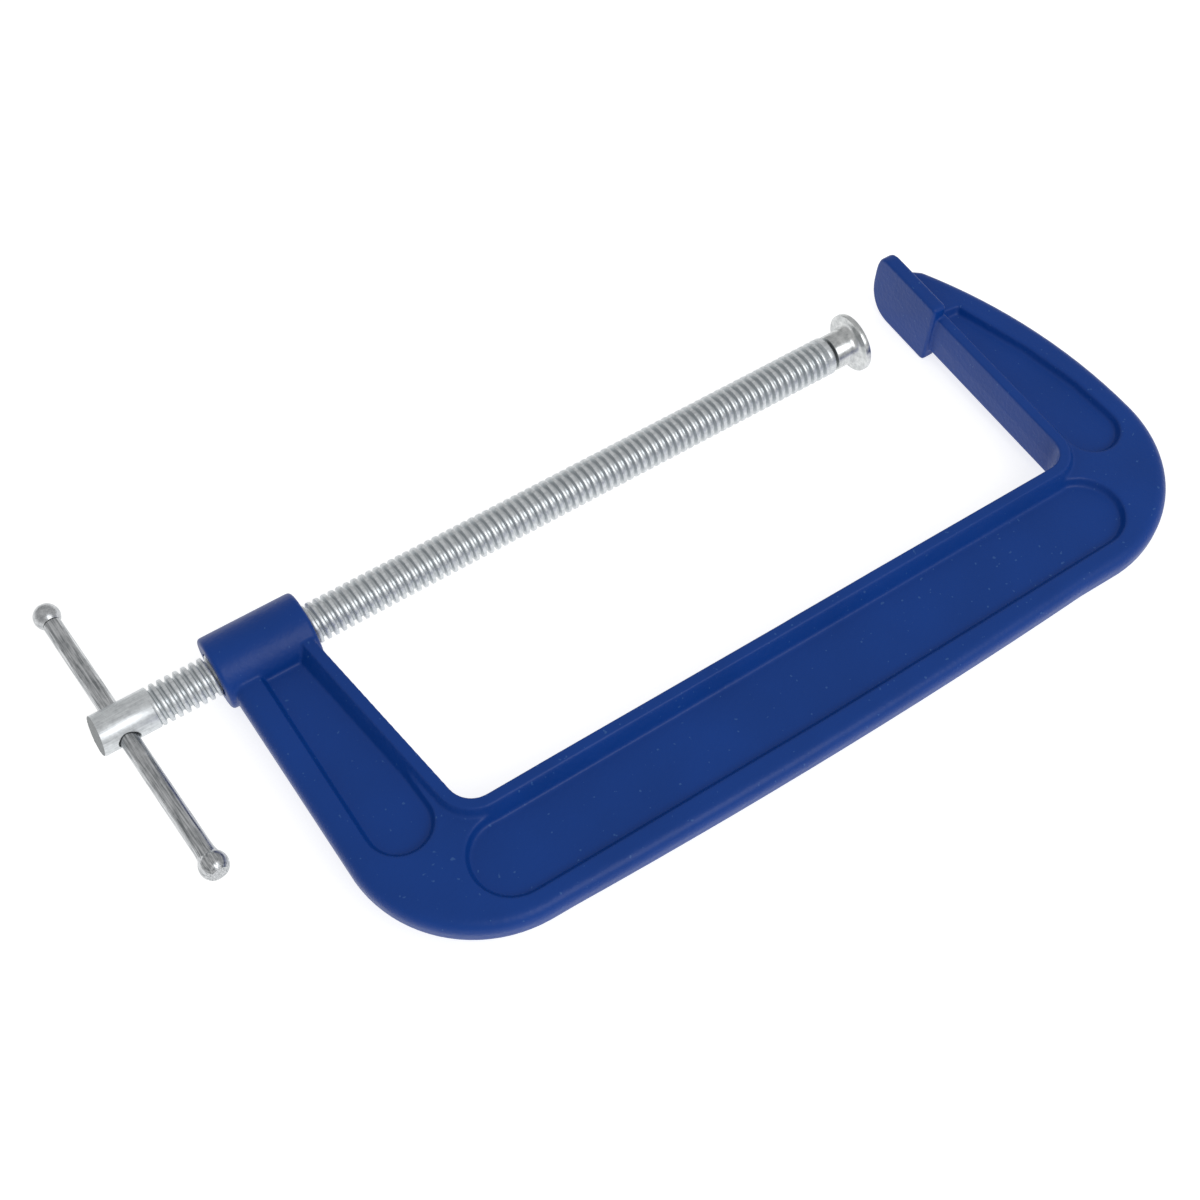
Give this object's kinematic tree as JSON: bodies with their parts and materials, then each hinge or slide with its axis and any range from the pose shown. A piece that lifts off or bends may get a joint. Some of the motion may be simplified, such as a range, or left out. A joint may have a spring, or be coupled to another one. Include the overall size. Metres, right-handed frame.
{
  "type": "c clamp",
  "caption": "G-shaped clamp: cast frame with a threaded boss and an anvil, a screw with a swivel pad, and a sliding tommy bar.",
  "frame": {"origin": "centre of the anvil's clamping face, on the screw axis", "axes": "+X along the screw axis from the handle towards the anvil, +Z square to the frame's flat faces, the spine at -Y"},
  "size_m": [0.5149, 0.2607, 0.039],
  "materials": {
    "blue_enamel": "satin blue enamel over cast iron",
    "zinc_screw": "bright zinc plate over rolled thread",
    "zinc_pad": "bright zinc plate",
    "spring_steel": "plain drawn wire",
    "zinc_bar": "zinc plate over drawn bar",
    "zinc_ball": "zinc plate over turned steel"
  },
  "bodies": {
    "frame": {"frame": "blue_enamel"},
    "ring": {"pad_retaining_ring": "spring_steel"},
    "spindle": {"spindle": "zinc_screw"},
    "pad": {"swivel_pad": "zinc_pad"},
    "bar": {"tommy_bar": "zinc_bar", "bar_end_ball": "zinc_ball"}
  },
  "joints": [
    {"name": "screw_travel", "type": "slide", "parent": "frame", "child": "ring", "axis": [1, 0, 0], "range_m": [-0.2961, 0.0331]},
    {"name": "screw_turn", "type": "hinge", "parent": "ring", "child": "spindle", "pos_m": [-0.0447, 0, 0], "axis": [1, 0, 0], "range_deg": [-26640, 2970]},
    {"name": "pad_tilt", "type": "hinge", "parent": "ring", "child": "pad", "pos_m": [-0.0447, 0, 0], "axis": [0, 0, 1], "range_deg": [-4.5, 4.5]},
    {"name": "bar_slide", "type": "slide", "parent": "spindle", "child": "bar", "axis": [-0.0689, 0.9976, 0], "range_m": [-0.053, 0.0675]}
  ],
  "couplings": [
    {"joint": "screw_travel", "follows": "screw_turn", "m_per_rad": 0.00063662}
  ]
}
